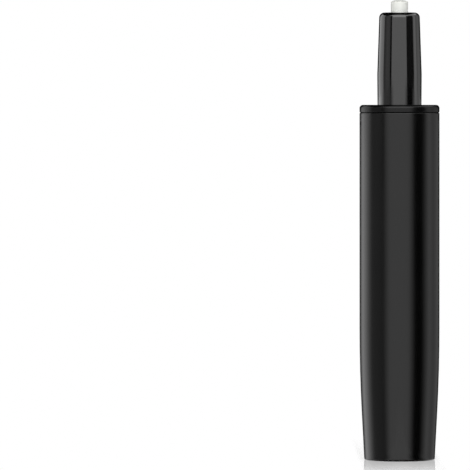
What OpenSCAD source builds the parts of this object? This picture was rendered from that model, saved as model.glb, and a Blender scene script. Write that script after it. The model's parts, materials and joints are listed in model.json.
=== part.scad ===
// Chair gas lift cylinder: a tapered column that stands in a chair base, and a
// gas spring that slides and swivels in it and carries the seat on a taper of its own.
// Millimetres, +Z up, origin at the centre of the foot, drawn fully lowered.

/* [Column tube] */
// Outside diameter of the column
column_d = 50; // [46:0.5:56]
// Wall of the column tube
column_wall = 2; // [1.5:0.1:2.5]
// Outside diameter at the foot, the small end of the base taper
foot_d = 44.1; // [43:0.1:46]
// Height of the base taper above the foot
foot_taper_h = 56; // [45:1:90]
// Radius that blends the base taper into the straight tube
foot_blend_r = 1000; // [200:50:1200]
// Rounding of the outer edge of the foot
foot_edge_r = 0.6; // [0.3:0.1:1.8]
// Diameter of the hole inside the lip rolled in at the foot
foot_hole_d = 34; // [32:0.5:36]
// Thickness of the lip rolled in at the foot
foot_lip_t = 2; // [1.5:0.1:3]

/* [Collar and guide bush] */
// Height of the collar on top of the column
collar_h = 5; // [4:0.5:8]
// Rounding of the top edge of the collar
collar_edge_r = 2.8; // [0.5:0.1:3.2]
// Chamfer on each side of the seam between collar and tube
seam_chamfer = 0.3; // [0.2:0.1:0.8]
// Length of the bush below the collar
bush_len = 80; // [60:1:100]
// Wall of the bush round its bore
bush_wall = 3.2; // [2:0.1:5]
// Length of the land at each end of the bush
bush_land = 12; // [10:1:20]
// Number of ribs between the lands
bush_ribs = 8; // [4:1:12]
// Thickness of each rib
bush_rib_t = 2.4; // [1.5:0.1:4]
// Chamfer at the mouth of the bore
bush_mouth = 0.6; // [0.3:0.1:1.2]

/* [Stakes] */
// Number of pairs of stakes that hold the bush in the column
stake_pairs = 2; // [2:1:4]
// Angle between the two stakes of a pair, in degrees
stake_pair_angle = 23; // [14:1:40]
// Depth of each stake
stake_depth = 1.2; // [0.5:0.1:1.4]
// Radius of each stake at the tube's surface
stake_r = 1.7; // [1.6:0.1:2.5]
// Slope of the sides of the blunt punch, in degrees
stake_slope = 50; // [45:1:80]
// Distance of the stakes below the seam
stake_drop = 6.2; // [4.5:0.1:7.5]

/* [Spindle] */
// Diameter of the spindle tube that slides in the bush
spindle_d = 27.5; // [26:0.1:30]
// Wall of the spindle tube
spindle_wall = 2; // [1.5:0.1:2.5]
// Height of the spindle above the collar when lowered
spindle_show = 57.7; // [54:0.1:75]
// Step by which the seat taper stands proud of the spindle tube, at its largest
seat_swell = 0.15; // [0.05:0.05:0.4]
// Half angle of the seat taper, in degrees
seat_taper_angle = 1.95; // [1:0.05:2.2]
// Height above the collar at which the seat taper is largest
seat_taper_rise = 19; // [8:1:22]
// Rounding of the top edge of the spindle
spindle_edge_r = 3.2; // [1:0.1:3.4]
// Rounding of the bottom edge of the spindle
spindle_foot_r = 1.5; // [0.5:0.1:1.8]
// Thickness of the lips rolled in at both ends of the spindle
spindle_lip_t = 2.5; // [2:0.1:4]
// Clearance round the rod inside the lip at the bottom of the spindle
rod_hole_gap = 1; // [0.5:0.1:1.5]

/* [Lift] */
// Travel of the lift
stroke = 120; // [80:1:160]
// Gas space left above the piston when lowered
dead_space = 11.8; // [2:0.1:30]

/* [Piston rod] */
// Diameter of the piston rod
rod_d = 10; // [9:0.1:11]
// Width of the shoulder that rests on the bearing
rod_shoulder_w = 1; // [0.8:0.1:1.5]
// Width of the step that the piston rests on
piston_step_w = 1.75; // [1.2:0.05:2.2]
// Length of the rod below its clip groove
rod_tail = 1.5; // [1:0.1:3]
// Chamfer at the bottom end of the rod
rod_chamfer = 0.5; // [0.2:0.1:1]
// Height of the peened head that holds the piston
rod_head_h = 2; // [1:0.1:3]

/* [Piston] */
// Height of the piston
piston_h = 16; // [12:0.5:22]
// Chamfer on both edges of the piston
piston_chamfer = 1; // [0.5:0.1:2]
// Thickness of the washer on the piston
piston_washer_t = 1.5; // [1:0.1:2.5]
// Diameter of the washer on the piston
piston_washer_d = 14.5; // [12:0.5:17]
// Thickness of the piston's sealing ring
piston_seal_cord = 2.6; // [2:0.1:3]

/* [Cylinder end] */
// Radial width of the gas passages round the inner tube, the rod and the head of the valve pin
passage_w = 1; // [0.6:0.1:1.5]
// Wall of the inner tube
inner_wall = 1; // [0.7:0.1:1.5]
// Length of the rod guide
guide_len = 18; // [12:0.5:25]
// Wall of the liner in the rod guide
liner_wall = 1.2; // [0.8:0.1:2]
// Height of the rod seal
seal_len = 8; // [6:0.5:12]
// Height of the lips of the rod seal
seal_lip_h = 4; // [3:0.1:5]
// Thickness of the lips of the rod seal at their tips
seal_lip_t = 1.3; // [0.8:0.1:1.8]
// Relief of the rod seal below its inner lip
seal_relief = 0.5; // [0.2:0.1:1]
// Thickness of the ring that holds the seal
keeper_len = 5; // [3:0.5:8]
// Height of the flange of the centring ring
centring_flange = 6; // [5:0.5:10]
// Height of the spigot of the centring ring
centring_spigot = 8; // [4:0.5:12]
// Height of the gas channels under the centring ring
channel_h = 2; // [1:0.1:3]
// Number of gas notches round the centring ring and the valve body
notch_count = 6; // [3:1:8]
// Width of each gas notch
notch_w = 2; // [1:0.1:3]

/* [Release valve] */
// Diameter of the valve pin
pin_d = 5; // [4:0.1:6]
// Depth of the waist of the valve pin
pin_waist = 0.7; // [0.4:0.1:1]
// Distance of the waist from the sealing rings above and below it
pin_waist_margin = 0.6; // [0.3:0.1:1]
// Diameter of the head that keeps the pin in
pin_head_d = 8; // [7:0.1:10]
// Height of the head that keeps the pin in
pin_head_h = 2.5; // [1.5:0.1:3]
// Thickness of the valve's sealing rings
valve_seal_cord = 2; // [1.5:0.1:2.4]
// Length of the valve body's spigot in the inner tube
valve_spigot = 8; // [5:0.5:12]
// Height of the flange of the valve body
valve_flange = 4; // [3:0.5:6]
// Height of the chamber between the inner tube and the valve's floor
valve_chamber = 8; // [7:0.5:12]
// Thickness of the valve's floor
valve_floor = 3; // [2:0.1:5]
// Length of the spacer between the valve's sealing rings
spacer_len = 7; // [6:0.5:10]
// Length of the bush that guides the pin
pin_bush_len = 6; // [4:0.5:10]
// Thickness of the ring that holds the valve in the spindle
retainer_t = 4; // [2.5:0.1:6]
// Diameter of the gas ports
port_d = 1.6; // [1:0.1:2.5]
// Number of gas ports
port_count = 4; // [2:1:6]

/* [Release button] */
// Travel of the release button
button_travel = 4; // [2:0.1:4.5]
// Diameter of the release button
button_d = 10.6; // [9:0.1:12]
// Height of the button above the spindle
button_show = 7.9; // [6:0.1:12]
// Height of the crown on top of the button
button_crown = 1.1; // [0.5:0.1:2]
// Diameter of the flat on top of the crown
button_flat_d = 3; // [2:0.5:6]
// Rounding of the edge round the crown
button_edge_r = 0.5; // [0.2:0.1:1]
// Height of the ring below the groove round the button
button_ring_h = 1.2; // [0.8:0.1:2]
// Depth of the groove round the button
button_groove = 0.15; // [0.1:0.05:0.5]
// Depth of the pin's socket in the button
button_socket = 5; // [3:0.1:7]

/* [Swivel bearing] */
// Thickness of the base plate
plate_t = 3; // [2:0.1:4]
// Height of the dish pressed into the base plate
plate_rise = 7; // [6:0.1:10]
// Slope of the dish's side from the upright, in degrees
dish_slope = 18; // [10:1:25]
// Width of the dish round the lower race
dish_margin = 1; // [0.5:0.1:2]
// Diameter of the bearing races
race_d = 26; // [24:0.5:27]
// Thickness of each bearing race
race_t = 2.5; // [2:0.1:4]
// Depth of the groove in each race
groove_depth = 0.6; // [0.3:0.05:0.9]
// Diameter of the bearing balls
ball_d = 4.75; // [4:0.05:5.5]
// Least width of the cage between two balls
cage_web = 0.5; // [0.4:0.1:1.5]
// Width of the cage on each side of the balls
cage_rim = 1; // [0.6:0.1:1.5]
// Thickness of the ball cage
cage_t = 1.8; // [1.2:0.1:2.4]

/* [Bumper, washer and clip] */
// Outside diameter of the bumper
bumper_d = 23; // [20:0.5:24]
// Height of the bumper
bumper_h = 17; // [12:0.5:25]
// Depth of the bumper's waist
bumper_waist = 1.6; // [0.5:0.1:3]
// Height of the bumper's waist
bumper_waist_h = 10; // [6:0.5:11]
// Thickness of the washer under the base plate
washer_t = 1; // [0.6:0.1:1.5]
// Diameter of the washer under the base plate
washer_d = 17; // [15:0.5:20]
// Thickness of the retaining clip
clip_t = 1.2; // [0.8:0.1:1.5]
// Outside diameter of the retaining clip
clip_d = 14; // [12:0.5:15]
// Width of the retaining clip's bow
clip_bow_w = 1.5; // [1:0.1:2]
// Width of each lug of the retaining clip
clip_lug_w = 3.2; // [2:0.1:4]
// Depth of the clip's groove in the rod
clip_groove = 0.8; // [0.5:0.1:1.2]

/* [Clearances] */
// Radial clearance of the spindle in the bush
slide_gap = 0.08; // [0.04:0.01:0.15]
// Radial clearance of the rod, the piston and the valve pin in their guides
rod_gap = 0.05; // [0.03:0.01:0.1]
// Radial clearance of pieces pushed into one another
fit_gap = 0.05; // [0.02:0.01:0.1]
// Clearance of sealing rings
seal_gap = 0.02; // [0.01:0.01:0.05]
// Clearance of the balls in their grooves and cage
ball_gap = 0.05; // [0.03:0.01:0.1]
// End play of the rod in the base plate
end_play = 0.1; // [0.05:0.05:0.3]
// Clearance left at each end of the lift and of the button's travel
stop_gap = 0.3; // [0.1:0.05:0.5]
// Radial clearance of pieces that pass through a hole freely
free_gap = 0.3; // [0.2:0.05:0.5]

/* [Hidden] */
$fn = 96;
ARC_STEPS = 8;
CLIP_LUG_ANGLES = [90, 210, 330];
// Length by which a cut runs past the face that it opens
CUT = 1;

// Heights, from the foot upwards
plate_z = foot_lip_t;
seat_z = plate_z + plate_rise + plate_t;
washer_z = seat_z - plate_t - end_play - washer_t;
clip_z = washer_z - clip_t;
rod_end_z = clip_z - rod_tail;
ball_z = seat_z + race_t - groove_depth + ball_gap + ball_d / 2;
upper_race_z = 2 * ball_z - seat_z - race_t;
shoulder_z = upper_race_z + race_t;
spindle_z = shoulder_z + bumper_h + stop_gap;
guide_z = spindle_z + spindle_lip_t;
seal_z = guide_z + guide_len;
keeper_z = seal_z + seal_len;
centring_z = keeper_z + keeper_len;
inner_tube_z = centring_z + centring_flange;
work_z = inner_tube_z + centring_spigot;
piston_z = work_z + stroke + stop_gap;
piston_top_z = piston_z + piston_h;
rod_head_z = piston_top_z + piston_washer_t;
valve_z = rod_head_z + rod_head_h + dead_space;
inner_tube_top_z = valve_z + valve_spigot;
valve_floor_z = inner_tube_top_z + valve_chamber;
lower_seal_z = valve_floor_z + valve_floor;
valve_seal_h = valve_seal_cord + 2 * seal_gap;
spacer_z = lower_seal_z + valve_seal_h;
upper_seal_z = spacer_z + spacer_len;
pin_bush_z = upper_seal_z + valve_seal_h;
body_seal_z = pin_bush_z;
valve_top_z = pin_bush_z + pin_bush_len;
top_lip_z = valve_top_z + retainer_t;
spindle_top_z = top_lip_z + spindle_lip_t;
button_z = valve_top_z + button_travel + stop_gap;
button_top_z = spindle_top_z + button_show;
pin_top_z = button_z + button_socket;
column_h = spindle_top_z - spindle_show;
tube_top_z = column_h - collar_h;
stake_z = tube_top_z - stake_drop;
taper_z = column_h + seat_taper_rise;
socket_z = taper_z + seat_swell / tan(seat_taper_angle);
piston_seal_h = piston_seal_cord + 2 * seal_gap;
piston_groove_z = piston_z + (piston_h - piston_seal_h) / 2;

// Radii, from the axis outwards
rod_r = rod_d / 2;
neck_r = rod_r - rod_shoulder_w;
plate_hole_r = neck_r + free_gap;
clip_seat_r = neck_r - clip_groove;
piston_spigot_r = rod_r - piston_step_w;
liner_r = rod_r + rod_gap + liner_wall;
spindle_r = spindle_d / 2;
chamber_r = spindle_r - spindle_wall;
inner_tube_r = chamber_r - passage_w;
bore_r = inner_tube_r - inner_wall;
piston_groove_r = bore_r - piston_seal_h;
pin_r = pin_d / 2;
valve_bore_r = pin_r + valve_seal_h;
pin_chamber_r = pin_head_d / 2 + passage_w;
button_r = button_d / 2;
button_hole_r = button_r + free_gap;
column_r = column_d / 2;
tube_bore_r = column_r - column_wall;
foot_r = foot_d / 2;
bush_bore_r = spindle_r + slide_gap;
bush_sleeve_r = bush_bore_r + bush_wall;
bush_r = tube_bore_r - fit_gap;
race_r = race_d / 2;
pitch_r = (race_r + plate_hole_r) / 2;
pocket_r = ball_d / 2 + ball_gap;
ball_count = floor(180 / asin((2 * pocket_r + cage_web) / 2 / pitch_r));

// Base taper and the arc that blends it into the straight tube, which leaves some straight taper below it
foot_angle = atan((column_r - foot_r) / foot_taper_h);
blend_share = 0.8;
blend_r = min(foot_blend_r, blend_share * foot_taper_h / tan(foot_angle / 2));
blend_top_z = foot_taper_h + blend_r * tan(foot_angle / 2);

// Outside radius of the base taper at height z
function foot_r_at(z) = foot_r + z * tan(foot_angle);

// Outside radius of the seat taper at height z
function taper_r_at(z) = spindle_r + seat_swell - (z - taper_z) * tan(seat_taper_angle);

// Inside radius of the spindle at height z
function socket_r_at(z) = min(chamber_r, taper_r_at(z) - spindle_wall);

// Points of an arc in a profile, from one angle to another, less the first where another arc ends there
function arc(x, y, r, from, to, first = 0) = [
    for (i = [first:ARC_STEPS])
        let (a = from + (to - from) * i / ARC_STEPS)
        [x + r * cos(a), y + r * sin(a)]
];

module revolve(profile) {
    rotate_extrude() polygon(profile);
}

module ring(outer_r, inner_r, z, h) {
    revolve([[inner_r, z], [outer_r, z], [outer_r, z + h], [inner_r, z + h]]);
}

// A sealing ring of round section, lying in a groove whose inner wall has radius inner_r
module seal_ring(inner_r, cord, z) {
    translate([0, 0, z + seal_gap + cord / 2])
        rotate_extrude()
            translate([inner_r + seal_gap + cord / 2, 0])
                circle(d = cord);
}

// Copies of the children at equal steps round the axis
module round_axis(count) {
    for (i = [0:count - 1]) rotate(360 * i / count) children();
}

// Slots that let gas past a flange, from radius inner_r outwards
module gas_notches(inner_r, z, h) {
    round_axis(notch_count)
        translate([inner_r, -notch_w / 2, z])
            cube([spindle_r, notch_w, h]);
}

// Radial gas ports at the middle of the valve's spacer
module gas_ports() {
    round_axis(port_count)
        translate([0, 0, spacer_z + spacer_len / 2])
            rotate([0, 90, 0])
                cylinder(d = port_d, h = spindle_r);
}

// Column

// Drawn steel tube with a swaged base taper, a rolled foot and the punched stakes
module outer_tube() {
    edge_r = min(foot_edge_r, column_wall, foot_lip_t);
    mid_wall_r = column_r - column_wall / 2;
    blend_x = column_r - blend_r;
    outside = concat(
        arc(foot_r_at(edge_r) - edge_r, edge_r, edge_r, -90, 0),
        arc(blend_x, blend_top_z, blend_r, -foot_angle, 0),
        [[column_r, tube_top_z - seam_chamfer], [column_r - seam_chamfer, tube_top_z]]
    );
    inside = concat(
        [[tube_bore_r, tube_top_z]],
        arc(blend_x, blend_top_z, blend_r - column_wall, 0, -foot_angle),
        [[foot_r_at(foot_lip_t) - column_wall, foot_lip_t]]
    );
    lip = [[foot_hole_d / 2, foot_lip_t], [foot_hole_d / 2, 0]];
    color("#161616")
        difference() {
            union() {
                revolve(concat(outside, inside, lip));
                intersection() {
                    stake_noses(tube_bore_r);
                    ring(mid_wall_r, tube_bore_r - 2 * stake_depth, stake_z - 2 * stake_r, 4 * stake_r);
                }
            }
            stake_noses(column_r);
        }
}

// The noses of the punches, sunk by the stakes' depth into a wall of radius wall_r
module stake_noses(wall_r) {
    nose_r = stake_r - stake_depth / tan(stake_slope);
    shank_r = stake_r + column_wall / tan(stake_slope);
    round_axis(stake_pairs)
        for (side = [-1, 1])
            rotate(side * stake_pair_angle / 2)
                translate([wall_r - stake_depth, 0, stake_z])
                    rotate([0, 90, 0])
                        cylinder(r1 = nose_r, r2 = shank_r, h = stake_depth + column_wall);
}

// Moulded bush: the collar, a land at each end of the sleeve, ribs between the lands
// and a groove in the upper land that the stakes reach into
module guide_bush() {
    edge_r = min(collar_edge_r, collar_h - seam_chamfer);
    foot_z = tube_top_z - bush_len;
    rib_z = foot_z + bush_land;
    rib_top_z = tube_top_z - bush_land;
    rib_root = bush_wall / 2;
    rib_r = sqrt(pow(bush_r - fit_gap, 2) - pow(bush_rib_t / 2, 2));
    groove_r = tube_bore_r - stake_depth - free_gap;
    groove_half_h = stake_r + free_gap;
    lower_land = [
        [bush_bore_r, foot_z], [bush_r, foot_z], [bush_r, rib_z], [bush_sleeve_r, rib_z]
    ];
    upper_land = [
        [bush_sleeve_r, rib_top_z], [bush_r, rib_top_z],
        [bush_r, stake_z - groove_half_h], [groove_r, stake_z - groove_half_h],
        [groove_r, stake_z + groove_half_h], [bush_r, stake_z + groove_half_h]
    ];
    collar = concat(
        [[bush_r, tube_top_z], [column_r - seam_chamfer, tube_top_z], [column_r, tube_top_z + seam_chamfer]],
        arc(column_r - edge_r, column_h - edge_r, edge_r, 0, 90),
        [[bush_bore_r + bush_mouth, column_h], [bush_bore_r, column_h - bush_mouth]]
    );
    color("#1d1d1e") {
        revolve(concat(lower_land, upper_land, collar));
        round_axis(bush_ribs)
            translate([bush_sleeve_r - rib_root, -bush_rib_t / 2, rib_z - rib_root])
                cube([rib_r - bush_sleeve_r + rib_root, bush_rib_t, rib_top_z - rib_z + 2 * rib_root]);
    }
}

// Pressed plate that closes the foot, dished so that the rod's end stays clear of the ground
module base_plate() {
    plate_r = foot_r_at(foot_lip_t) - column_wall - fit_gap;
    dish_r = race_r + dish_margin;
    dish_foot_r = dish_r + plate_rise * tan(dish_slope);
    color("#2b2b2d")
        revolve([
            [plate_hole_r, seat_z - plate_t], [dish_r - plate_t, seat_z - plate_t],
            [dish_foot_r - plate_t, plate_z], [plate_r, plate_z],
            [plate_r, plate_z + plate_t], [dish_foot_r, plate_z + plate_t],
            [dish_r, seat_z], [plate_hole_r, seat_z]
        ]);
}

// Hardened ring with a ball groove in the face towards the balls
module race(z) {
    difference() {
        ring(race_r, plate_hole_r, z, race_t);
        translate([0, 0, ball_z])
            rotate_extrude()
                translate([pitch_r, 0])
                    circle(r = pocket_r);
    }
}

module lower_race() {
    color("#b8bcc0") race(seat_z);
}

// Ball cage

module ball_cage() {
    color("#c9a24a")
        difference() {
            ring(pitch_r + pocket_r + cage_rim, pitch_r - pocket_r - cage_rim, ball_z - cage_t / 2, cage_t);
            round_axis(ball_count)
                translate([pitch_r, 0, ball_z])
                    cylinder(r = pocket_r, h = cage_t + CUT, center = true);
        }
}

module bearing_balls() {
    color("#d5d8db")
        round_axis(ball_count)
            translate([pitch_r, 0, ball_z])
                sphere(d = ball_d);
}

// Piston rod

// Ground rod with a shoulder on the bearing, a clip groove at its foot and a peened head
module piston_rod() {
    foot = [
        [0, rod_end_z], [neck_r - rod_chamfer, rod_end_z], [neck_r, rod_end_z + rod_chamfer],
        [neck_r, clip_z], [clip_seat_r, clip_z], [clip_seat_r, washer_z], [neck_r, washer_z]
    ];
    shaft = [
        [neck_r, shoulder_z], [rod_r, shoulder_z], [rod_r, piston_z], [piston_spigot_r, piston_z]
    ];
    head = [
        [piston_spigot_r, rod_head_z], [rod_r, rod_head_z],
        [piston_spigot_r, rod_head_z + rod_head_h], [0, rod_head_z + rod_head_h]
    ];
    color("#d9dcde") revolve(concat(foot, shaft, head));
}

module upper_race() {
    color("#b8bcc0") race(upper_race_z);
}

// Rubber bumper, waisted so that it gives, which the spindle meets when it is lowered
module bumper() {
    bore = rod_r + fit_gap;
    outer_r = bumper_d / 2;
    half_h = bumper_waist_h / 2;
    waist_r = (pow(half_h, 2) + pow(bumper_waist, 2)) / (2 * bumper_waist);
    waist_angle = asin(half_h / waist_r);
    waist_x = outer_r - bumper_waist + waist_r;
    color("#202020")
        revolve(concat(
            [[bore, shoulder_z], [outer_r, shoulder_z]],
            arc(waist_x, shoulder_z + bumper_h / 2, waist_r, 180 + waist_angle, 180 - waist_angle),
            [[outer_r, shoulder_z + bumper_h], [bore, shoulder_z + bumper_h]]
        ));
}

module thrust_washer() {
    color("#a9adb1") ring(washer_d / 2, neck_r + fit_gap, washer_z, washer_t);
}

// Retaining clip, open on one side, with three lugs in the rod's groove
module retaining_clip() {
    clip_r = clip_d / 2;
    bow_r = clip_r - clip_bow_w;
    color("#8d9196")
        translate([0, 0, clip_z])
            linear_extrude(clip_t)
                difference() {
                    union() {
                        difference() {
                            circle(r = clip_r);
                            circle(r = bow_r);
                        }
                        for (a = CLIP_LUG_ANGLES)
                            rotate(a)
                                translate([0, -clip_lug_w / 2])
                                    square([clip_r - clip_bow_w / 2, clip_lug_w]);
                    }
                    circle(r = clip_seat_r + fit_gap);
                    translate([-clip_seat_r, -clip_d])
                        square([2 * clip_seat_r, clip_d]);
                }
}

module piston() {
    piston_r = bore_r - rod_gap;
    bore = piston_spigot_r + fit_gap;
    groove_top_z = piston_groove_z + piston_seal_h;
    color("#c2c6ca")
        revolve([
            [bore, piston_z], [piston_r - piston_chamfer, piston_z], [piston_r, piston_z + piston_chamfer],
            [piston_r, piston_groove_z], [piston_groove_r, piston_groove_z],
            [piston_groove_r, groove_top_z], [piston_r, groove_top_z],
            [piston_r, piston_top_z - piston_chamfer], [piston_r - piston_chamfer, piston_top_z],
            [bore, piston_top_z]
        ]);
}

module piston_seal() {
    color("#1a1a1a") seal_ring(piston_groove_r, piston_seal_cord, piston_groove_z);
}

module piston_washer() {
    color("#a9adb1") ring(piston_washer_d / 2, piston_spigot_r + fit_gap, piston_top_z, piston_washer_t);
}

// Spindle

// Pressure tube: a ground barrel, the seat taper above it and a lip rolled in at each end
module spindle_tube() {
    rod_hole_r = rod_r + rod_hole_gap;
    top_r = min(spindle_edge_r, spindle_lip_t + spindle_wall / 2);
    foot_r = min(spindle_foot_r, spindle_lip_t, spindle_wall);
    top_x = taper_r_at(spindle_top_z - top_r) - top_r;
    outside = concat(
        arc(spindle_r - foot_r, spindle_z + foot_r, foot_r, -90, 0),
        [[spindle_r, column_h], [spindle_r + seat_swell, taper_z]],
        arc(top_x, spindle_top_z - top_r, top_r, 0, 90)
    );
    inside = [
        [button_hole_r, spindle_top_z], [button_hole_r, top_lip_z], [socket_r_at(top_lip_z), top_lip_z],
        [chamber_r, socket_z], [chamber_r, guide_z], [rod_hole_r, guide_z], [rod_hole_r, spindle_z]
    ];
    color("#0f0f10") revolve(concat(outside, inside));
}

// Bush at the foot of the spindle that carries the liner
module rod_guide() {
    color("#9fa3a6") ring(chamber_r - fit_gap, liner_r + fit_gap, guide_z, guide_len);
}

module guide_liner() {
    color("#b98a4e") ring(liner_r, rod_r + rod_gap, guide_z, guide_len);
}

// Rubber seal with one lip on the rod and one on the tube, pressed apart by the gas above it
module rod_seal() {
    outer_r = chamber_r - seal_gap;
    lip_r = rod_r + seal_gap;
    root_r = (outer_r + lip_r) / 2;
    root_z = keeper_z - seal_lip_h;
    color("#181818")
        revolve([
            [lip_r + seal_relief, seal_z], [outer_r, seal_z], [outer_r, keeper_z],
            [outer_r - seal_lip_t, keeper_z], [root_r, root_z], [lip_r + seal_lip_t, keeper_z],
            [lip_r, keeper_z], [lip_r, root_z + seal_relief], [lip_r + seal_relief, root_z]
        ]);
}

module seal_keeper() {
    color("#d8d3c4") ring(chamber_r - fit_gap, rod_r + passage_w, keeper_z, keeper_len);
}

// Ring that centres the foot of the inner tube, with channels that lead the gas round it
module centring_ring() {
    flange_r = chamber_r - fit_gap;
    spigot_r = bore_r - fit_gap;
    bore = rod_r + passage_w;
    color("#d8d3c4")
        difference() {
            revolve([
                [bore, centring_z], [flange_r, centring_z], [flange_r, inner_tube_z],
                [spigot_r, inner_tube_z], [spigot_r, work_z], [bore, work_z]
            ]);
            gas_notches(inner_tube_r, centring_z - CUT, centring_flange + 2 * CUT);
            gas_notches(0, centring_z - CUT, channel_h + CUT);
        }
}

module inner_tube() {
    color("#c9cdd0") ring(inner_tube_r, bore_r, inner_tube_z, inner_tube_top_z - inner_tube_z);
}

// Inner wall of the groove for the sealing ring round the valve body
function body_groove_r() = socket_r_at(body_seal_z + valve_seal_h) - valve_seal_h;

// Valve body: its spigot closes the inner tube, its flange lets gas past to the ports,
// and its bore carries the sealing rings, the spacer and the pin's bush
module valve_body() {
    flange_z = inner_tube_top_z + valve_flange;
    flange_r = socket_r_at(flange_z) - fit_gap;
    spigot_r = bore_r - fit_gap;
    body_r = socket_r_at(valve_top_z) - fit_gap;
    pin_hole_r = pin_r + free_gap;
    outside = [
        [pin_chamber_r, valve_z], [spigot_r, valve_z], [spigot_r, inner_tube_top_z],
        [flange_r, inner_tube_top_z], [flange_r, flange_z], [body_r, flange_z],
        [body_r, body_seal_z], [body_groove_r(), body_seal_z],
        [body_groove_r(), body_seal_z + valve_seal_h], [body_r, body_seal_z + valve_seal_h],
        [body_r, valve_top_z]
    ];
    inside = [
        [valve_bore_r, valve_top_z], [valve_bore_r, lower_seal_z], [pin_hole_r, lower_seal_z],
        [pin_hole_r, valve_floor_z], [pin_chamber_r, valve_floor_z]
    ];
    color("#c2c6ca")
        difference() {
            revolve(concat(outside, inside));
            gas_notches(inner_tube_r, inner_tube_top_z - CUT, valve_flange + CUT);
            gas_ports();
        }
}

module body_seal() {
    color("#181818") seal_ring(body_groove_r(), valve_seal_cord, body_seal_z);
}

// The two sealing rings that the valve pin slides through
module valve_seals() {
    color("#181818")
        for (z = [lower_seal_z, upper_seal_z]) seal_ring(pin_r, valve_seal_cord, z);
}

module valve_spacer() {
    color("#c39a52")
        difference() {
            ring(valve_bore_r - fit_gap, pin_r + free_gap, spacer_z, spacer_len);
            gas_ports();
        }
}

module valve_bush() {
    color("#d8d3c4") ring(valve_bore_r - fit_gap, pin_r + rod_gap, pin_bush_z, pin_bush_len);
}

module valve_retainer() {
    color("#a9adb1") ring(socket_r_at(top_lip_z) - fit_gap, button_hole_r, valve_top_z, retainer_t);
}

// Release

// Valve pin: once it is pressed, its waist bridges the lower sealing ring and gas flows
module valve_pin() {
    waist_r = pin_r - pin_waist;
    waist_z = spacer_z + pin_waist_margin;
    waist_top_z = upper_seal_z - pin_waist_margin;
    head_z = valve_floor_z - stop_gap;
    color("#cfd2d5")
        revolve([
            [0, head_z - pin_head_h], [pin_head_d / 2, head_z - pin_head_h], [pin_head_d / 2, head_z],
            [pin_r, head_z], [pin_r, waist_z], [waist_r, waist_z + pin_waist],
            [waist_r, waist_top_z - pin_waist], [pin_r, waist_top_z], [pin_r, pin_top_z], [0, pin_top_z]
        ]);
}

// Nylon button pressed onto the valve pin, with a crown that is part of a ball
module release_button() {
    groove_z = spindle_top_z + button_ring_h;
    socket_r = pin_r + fit_gap;
    flat_r = button_flat_d / 2;
    crown_drop = (pow(button_r, 2) - pow(flat_r, 2) - pow(button_crown, 2)) / (2 * button_crown);
    crown_r = sqrt(pow(button_r, 2) + pow(crown_drop, 2));
    crown_z = button_top_z - button_crown - crown_drop;
    edge_x = button_r - button_edge_r;
    edge_angle = acos(edge_x / (crown_r - button_edge_r));
    side = [
        [socket_r, button_z], [button_r, button_z], [button_r, groove_z],
        [button_r - button_groove, groove_z + button_groove], [button_r, groove_z + 2 * button_groove]
    ];
    top = concat(
        arc(edge_x, crown_z + edge_x * tan(edge_angle), button_edge_r, 0, edge_angle),
        arc(0, crown_z, crown_r, edge_angle, acos(flat_r / crown_r), first = 1)
    );
    color("#efefe9")
        revolve(concat(side, top, [[0, button_top_z], [0, pin_top_z], [socket_r, pin_top_z]]));
}

outer_tube();
guide_bush();
base_plate();
lower_race();
ball_cage();
bearing_balls();
piston_rod();
upper_race();
bumper();
thrust_washer();
retaining_clip();
piston();
piston_seal();
piston_washer();
spindle_tube();
rod_guide();
guide_liner();
rod_seal();
seal_keeper();
centring_ring();
inner_tube();
valve_body();
body_seal();
valve_seals();
valve_spacer();
valve_bush();
valve_retainer();
valve_pin();
release_button();
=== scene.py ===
# %% [markdown]
# # Dressing a chair gas lift
#
# A chair gas lift is a tapered black column that stands in a chair's base, with a gas spring inside
# it: a glossy spindle slides and swivels in a collar and carries a white release button. Its solids
# exist already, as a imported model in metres, and this lesson never moves them. It makes finer skins
# for the pieces that show, gives every piece a finish, and builds a white studio around the lift.

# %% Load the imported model
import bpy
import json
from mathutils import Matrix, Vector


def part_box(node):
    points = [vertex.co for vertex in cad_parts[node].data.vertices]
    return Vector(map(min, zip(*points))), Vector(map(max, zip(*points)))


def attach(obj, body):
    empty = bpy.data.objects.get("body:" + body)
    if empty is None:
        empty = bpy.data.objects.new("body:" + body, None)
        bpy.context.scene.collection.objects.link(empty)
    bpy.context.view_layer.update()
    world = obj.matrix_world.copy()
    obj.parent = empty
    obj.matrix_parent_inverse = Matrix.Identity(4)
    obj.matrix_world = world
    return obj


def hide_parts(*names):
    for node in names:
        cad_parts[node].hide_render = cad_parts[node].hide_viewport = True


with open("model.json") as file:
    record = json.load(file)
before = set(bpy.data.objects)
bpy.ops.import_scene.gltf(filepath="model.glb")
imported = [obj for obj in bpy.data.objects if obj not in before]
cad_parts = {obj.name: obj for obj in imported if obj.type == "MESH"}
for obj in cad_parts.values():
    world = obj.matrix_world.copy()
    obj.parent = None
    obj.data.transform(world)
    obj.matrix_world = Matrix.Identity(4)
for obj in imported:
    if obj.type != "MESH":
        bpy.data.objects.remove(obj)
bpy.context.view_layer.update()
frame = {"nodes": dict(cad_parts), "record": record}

MM = 0.001

# %% [markdown]
# ## Helpers for node trees
#
# The shapes and the finishes below are both node trees. In the editor one drags nodes and noodles
# about; a script needs only four helpers for the same job: one adds a node with its values and links,
# one does a single sum, one turns a value into a soft step, and one starts a group with named sockets.

# %% Add nodes, sums and groups
import bpy

VALUE = "NodeSocketFloat"
PLACE = "NodeSocketVector"


def add_node(tree, kind, inputs=None, **settings):
    """A new node: an input given as a socket is linked, anything else becomes its value."""
    node = tree.nodes.new(kind)
    for setting, value in settings.items():
        setattr(node, setting, value)
    for key, value in (inputs or {}).items():
        if isinstance(value, bpy.types.NodeSocket):
            tree.links.new(value, node.inputs[key])
        else:
            node.inputs[key].default_value = value
    return node


def work_out(tree, operation, first, second=0.0):
    """The result of one Math node."""
    return add_node(tree, "ShaderNodeMath", {0: first, 1: second}, operation=operation).outputs[0]


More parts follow.
